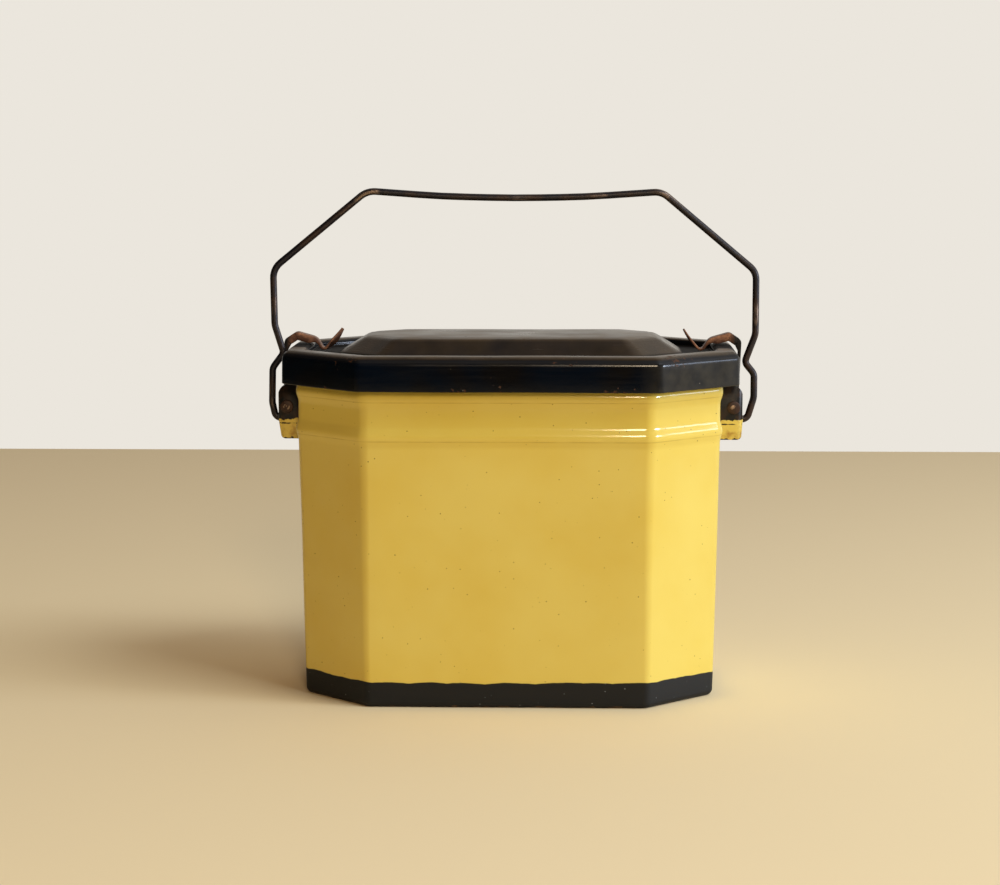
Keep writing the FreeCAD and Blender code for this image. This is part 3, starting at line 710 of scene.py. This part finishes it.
def clipRings(word):
    s = clipShape
    x, z, eye = s["pinLong"], s["pinHeight"], s["eyeRadius"]
    legSide = x + eye - s["slack"]
    line = bentLine([
        (x + s["curlLap"], z + eye, 0, 0), (x - eye, z + eye, eye, 0), (x - eye, z - eye, eye, 0),
        (x + eye, z - eye, eye, 0), (*s["shoulder"], s["bendRadius"], 1.0),
        (*s["crest"], s["bendRadius"], 1.0), (*s["brow"], s["browRadius"], 1.0),
        (*s["nose"], s["noseRadius"], 0.5), (*s["tip"], 0, 0.5),
    ], s["arcStep"], s["runStep"])
    points = [at for at, wear in line]
    runs = [0.0]
    for before, after in zip(points, points[1:]):
        runs.append(runs[-1] + (after - before).length)
    # the edges turn down from the top of the leg to a little past the brow
    lipStart = min(run for at, run in zip(points, runs) if at.x > legSide and at.y > s["lipFrom"])
    browRun = min(zip([(at - Vector(s["brow"])).length for at in points], runs))[1]
    lipEnd = browRun + s["lipFades"] / 2
    middle = (s["near"] + s["far"]) / 2
    rings = []
    onLeg = False
    for k, (at, wear) in enumerate(line):
        ahead = heading(points, k)
        outward, across = Vector((ahead.y, 0, -ahead.x)), Vector((0, 1, 0))
        lip = s["flat"]
        if lipStart < runs[k] < lipEnd:
            grown, fading = (runs[k] - lipStart) / s["lipGrows"], (lipEnd - runs[k]) / s["lipFades"]
            lip += s["lip"] * min(1.0, grown, fading)
        # the finger tab narrows to a point and is twisted a little
        tab = max(0.0, 1 - (runs[-1] - runs[k]) / s["tabLength"])
        taper = tab ** s["tabTaper"]
        low, high = s["near"], s["far"]
        low += (middle - s["tipWidth"] / 2 - low) * taper
        high -= (high - middle - s["tipWidth"] / 2) * taper
        thickness = s["strip"] + (s["tipThickness"] - s["strip"]) * tab
        turned = math.radians(s["twist"][word]) * min(1.0, 2 * tab)
        twist = Matrix.Rotation(turned, 3, Vector((ahead.x, 0, ahead.y)))
        lean = s["lean"][word] * max(0.0, at.y - z - eye) / (s["shoulder"][1] - z - eye)
        bow = s["tabBow"] * math.sin(math.pi * tab)
        centre = Vector((at.x + lean, middle, at.y)) - outward * (thickness / 2 + bow)
        across, outward = twist @ across, twist @ outward
        origin = centre - across * middle
        # the eye is as wide as the bracket, and one ring of each width at the step makes it square
        wasOnLeg = onLeg
        onLeg = onLeg or (at.x > legSide and at.y > s["stepHeight"])
        if not wasOnLeg:
            ring = stripSection(origin, across, outward, s["eyeSide"], high, thickness, lip, s["lipWidth"])
            rings.append((ring, wear))
        if onLeg:
            lipWidth = min(s["lipWidth"], (high - low) / 3)
            rings.append((stripSection(origin, across, outward, low, high, thickness, lip, lipWidth), wear))
    return rings


# bracket: a strip bent to a U, with a low web in front and a round lug on each side for the rivet

earShape = {
    "sheet": 1.2, "root": 84.5, "seat": 85.5, "tongue": (111.0, 121.4), "slack": 0.01,
    "reach": 95.2, "half": 9.6, "bendRadius": 2.2, "bottom": 103.0, "webTop": 112.8,
    "toeRadius": 2.5, "lugFront": 95.0, "lugTop": 125.6, "lugRadius": 5.0, "flat": 0.02,
    "arcStep": 9.0, "runStep": 0.7,
    "slant": {"right": 0.8, "left": 1.5},       # how far the web leans in at its foot
}


def earRings(word):
    s = earShape
    half, bend, inside = s["half"], s["bendRadius"], s["half"] - s["sheet"]
    plan = bentLine([
        (s["root"], -half, 0, 0), (s["seat"], -half, 0, 0), (s["reach"], -half, bend, 0),
        (s["reach"], half, bend, 0), (s["seat"], half, 0, 0), (s["root"], half, 0, 0),
    ], s["arcStep"], s["runStep"])
    points = [at for at, wear in plan]
    overs = [max(0.0, at.x - s["lugFront"] + s["lugRadius"]) for at in points]
    # each leg is let into the sheet between the beads by a tongue, and the web joins the two legs
    kinds = []
    for at, over in zip(points, overs):
        onLug = abs(at.y) > inside and over < s["lugRadius"]
        kinds.append("tongue" if at.x < s["seat"] - s["slack"] else "lug" if onLug else "web")

    def sectionAt(k, kind):
        at, ahead = points[k], heading(points, k)
        outward = Vector((ahead.y, -ahead.x, 0))
        origin = Vector((at.x, at.y, 0)) - outward * s["sheet"] / 2
        # the toe is rounded up towards the web, and the lug's front is rounded off under the skirt
        toe = max(0.0, at.x - s["sheet"] / 2 - (s["reach"] - s["toeRadius"]))
        low = s["bottom"] + s["toeRadius"] - math.sqrt(max(s["toeRadius"] ** 2 - toe ** 2, 0.0))
        high = s["webTop"]
        if kind == "tongue":
            low, high = s["tongue"]
        if kind == "lug":
            high = s["lugTop"] - s["lugRadius"] + math.sqrt(s["lugRadius"] ** 2 - overs[k] ** 2)
        ring = stripSection(
            origin, Vector((0, 0, 1)), outward, low, high, s["sheet"], s["flat"], s["sheet"] / 2)
        for p in ring:
            # the lugs are flat inside, so that the clip turns between them
            if kinds[k] == "lug":
                p.y = math.copysign(max(abs(p.y), inside), p.y)
            down = max(0.0, s["webTop"] - p.z) / (s["webTop"] - s["bottom"])
            p.x -= s["slant"][word] * down * max(0.0, p.x - s["root"]) / (s["reach"] - s["root"])
        return ring, 0.0

    # where a lug meets the web or a tongue, a low ring at the same place makes the step upright
    rings = []
    for k, kind in enumerate(kinds):
        if kind == "lug" and kinds[k - 1] != kind:
            rings.append(sectionAt(k, kinds[k - 1]))
        rings.append(sectionAt(k, kind))
        if kind == "lug" and kinds[k + 1] != kind:
            rings.append(sectionAt(k, kinds[k + 1]))
    return rings


# rivet pin: shank with a domed head closed down on each cheek

pinShape = {
    "long": 91.2, "height": 116.2, "radius": 1.5, "seat": 9.6, "sides": 28, "arcStep": 12.0, "runStep": 3.0,
    "headRadius": 2.7, "headHeight": 1.1, "underRadius": 0.15, "brimDrop": 0.35, "brimRadius": 0.5,
    "crown": 0.9, "crownRadius": 1.6, "tip": 0.12,
}


def pinRings():
    s = pinShape
    end = s["seat"] + s["headHeight"]
    half = [
        (s["radius"], 0.0, 0, 0), (s["radius"], s["seat"], 0, 0),
        (s["headRadius"], s["seat"], s["underRadius"], 0),
        (s["headRadius"], end - s["brimDrop"], s["brimRadius"], 0.4),
        (s["crown"], end, s["crownRadius"], 1.0), (s["tip"], end, 0, 1.0),
    ]
    line = bentLine(half, s["arcStep"], s["runStep"])
    line = [(Vector((at.x, -at.y)), wear) for at, wear in line[:0:-1]] + line
    rings = []
    for at, wear in line:
        spokes = [(at.x * math.cos(t), at.x * math.sin(t)) for t in roundTurns(s["sides"])]
        rings.append(([Vector((s["long"] + dx, at.y, s["height"] + dz)) for dx, dz in spokes], wear))
    return rings


# the finishes, then each piece in its place

yellow, black = yellowEnamel(), blackEnamel()
wire, spring = blackenedWire(), brownedSpring()
bracket, rivet = chippedBracket(), hammeredRivet()
print("materials made:", len(bpy.data.materials))

seat(skinRings("shell", shellRings(), yellow), "box", "body")
print("shell drawn")
seat(skinRings("lid_pressing", lidRings(), black), "lid", "lid")
print("lid pressed")
seat(skinRings("bail_wire", bailRings(), wire), "bail", "bail")
print("bail bent")
for side, word in ((1, "right"), (-1, "left")):
    clip = skinRings("clip_strip_" + word, handed(clipRings(word), side), spring)
    seat(clip, word + "_clip", "clip_" + word)
    ear = skinRings("bracket_" + word, handed(earRings(word), side), bracket)
    seat(ear, "box", "ear_" + word)
    pin = skinRings("rivet_" + word, handed(pinRings(), side), rivet)
    seat(pin, "box", "clip_pin_" + word)
print("clips, brackets and rivets made")


# floor, light and camera

stageLook = {
    # metres
    "left": -0.9, "right": 0.62, "near": -0.8, "far": 0.8, "lampsAim": (0, 0, 0.09),
    "floor": "#f1dfb4", "floorRoughness": 0.9, "wall": "#ebe6dd",
    "fillDim": "#cf9250", "fillBright": "#eeebe6", "fillLow": 0.2, "fillHigh": 0.62,
    "brightSide": (1.1, 0.85, 0.15), "roomDim": 0.02, "roomFrom": -0.2, "roomTo": 0.8,
    "lamps": (
        # name, place, width, height (metres), power (watts), colour
        ("key", (1.2, -0.9, 1.75), 1.0, 1.0, 24.4, "#f3faff"),
        ("window", (0.185, -1.65, 0.66), 0.21, 0.28, 8.4, "#ffe6c4"),
        ("sideWindow", (1.70, -0.37, 0.43), 0.60, 0.24, 18.0, "#deeaff"),
        ("curtain", (1.72, 0.13, 0.43), 0.26, 0.20, 1.7, "#cfe0ff"),
    ),
}


def makeFloor():
    # plain pale board, matt, so that it shows little but the shadow
    look = stageLook
    bm = bmesh.new()
    corners = [(look["left"], look["near"]), (look["right"], look["near"]),
               (look["right"], look["far"]), (look["left"], look["far"])]
    bm.faces.new([bm.verts.new((x, y, 0.0)) for x, y in corners])
    mesh = bpy.data.meshes.new("floor")
    bm.to_mesh(mesh)
    bm.free()
    material, tree, shader = newMaterial("plain pale board")
    feed(tree, shader, {"Base Color": look["floor"], "Roughness": look["floorRoughness"]})
    mesh.materials.append(material)
    floor = bpy.data.objects.new("floor", mesh)
    scene.collection.objects.link(floor)


def makeWorld():
    # the camera sees a pale wall, mirrors see it fall off to a dim room, and the fill is warm on the dim side
    look = stageLook
    world = bpy.data.worlds.new("room")
    world.use_nodes = True
    scene.world = world
    tree = world.node_tree
    tree.nodes.clear()
    path = addNode(tree, "LightPath", {}).outputs
    mirrored = addNode(
        tree, "Math", {0: path["Is Glossy Ray"], 1: path["Is Transmission Ray"]}, operation="MAXIMUM")
    toward = addNode(tree, "TexCoord", {}).outputs["Generated"]
    bright = addNode(tree, "VectorMath", {0: toward, 1: look["brightSide"]}, operation="DOT_PRODUCT")
    strength = addNode(tree, "MapRange", {
        0: bright, 1: look["roomFrom"], 2: look["roomTo"], 3: look["roomDim"]})
    wall = addNode(tree, "Background", {0: look["wall"], 1: 1.0})
    room = addNode(tree, "Background", {0: look["wall"], 1: strength})
    tint = addNode(tree, "Mix", {0: strength, 6: look["fillDim"], 7: look["fillBright"]}, data_type="RGBA")
    level = addNode(tree, "MapRange", {0: strength, 3: look["fillLow"], 4: look["fillHigh"]})
    fill = addNode(tree, "Background", {0: tint, 1: level})
    lit = addNode(tree, "MixShader", {0: mirrored, 1: fill, 2: room})
    seen = addNode(tree, "MixShader", {0: path["Is Camera Ray"], 1: lit, 2: wall})
    addNode(tree, "OutputWorld", {0: seen})


def makeLamp(name, at, width, height, power, tint):
    lamp = bpy.data.lights.new(name, "AREA")
    lamp.shape = "RECTANGLE"
    lamp.size, lamp.size_y = width, height
    lamp.energy = power
    lamp.color = colour(tint)[:3]
    holder = bpy.data.objects.new(name, lamp)
    holder.location = at
    aim = Vector(stageLook["lampsAim"]) - Vector(at)
    holder.rotation_euler = aim.to_track_quat("-Z", "Y").to_euler()
    scene.collection.objects.link(holder)


# place in metres, angles in degrees, lens and sensor in millimetres
cameraLook = {"at": (0.0255, -1.0323, 0.2227), "pitch": -6.748, "turn": 1.653, "lens": 90.74, "sensor": 36.0}


def makeCamera():
    look = cameraLook
    data = bpy.data.cameras.new("camera")
    data.lens, data.sensor_width = look["lens"], look["sensor"]
    camera = bpy.data.objects.new("camera", data)
    camera.location = look["at"]
    camera.rotation_euler = Euler((math.radians(90 + look["pitch"]), 0, math.radians(look["turn"])))
    scene.collection.objects.link(camera)
    scene.camera = camera


makeFloor()
makeWorld()
for lamp in stageLook["lamps"]:
    makeLamp(*lamp)
makeCamera()
print("floor, lamps and camera set")
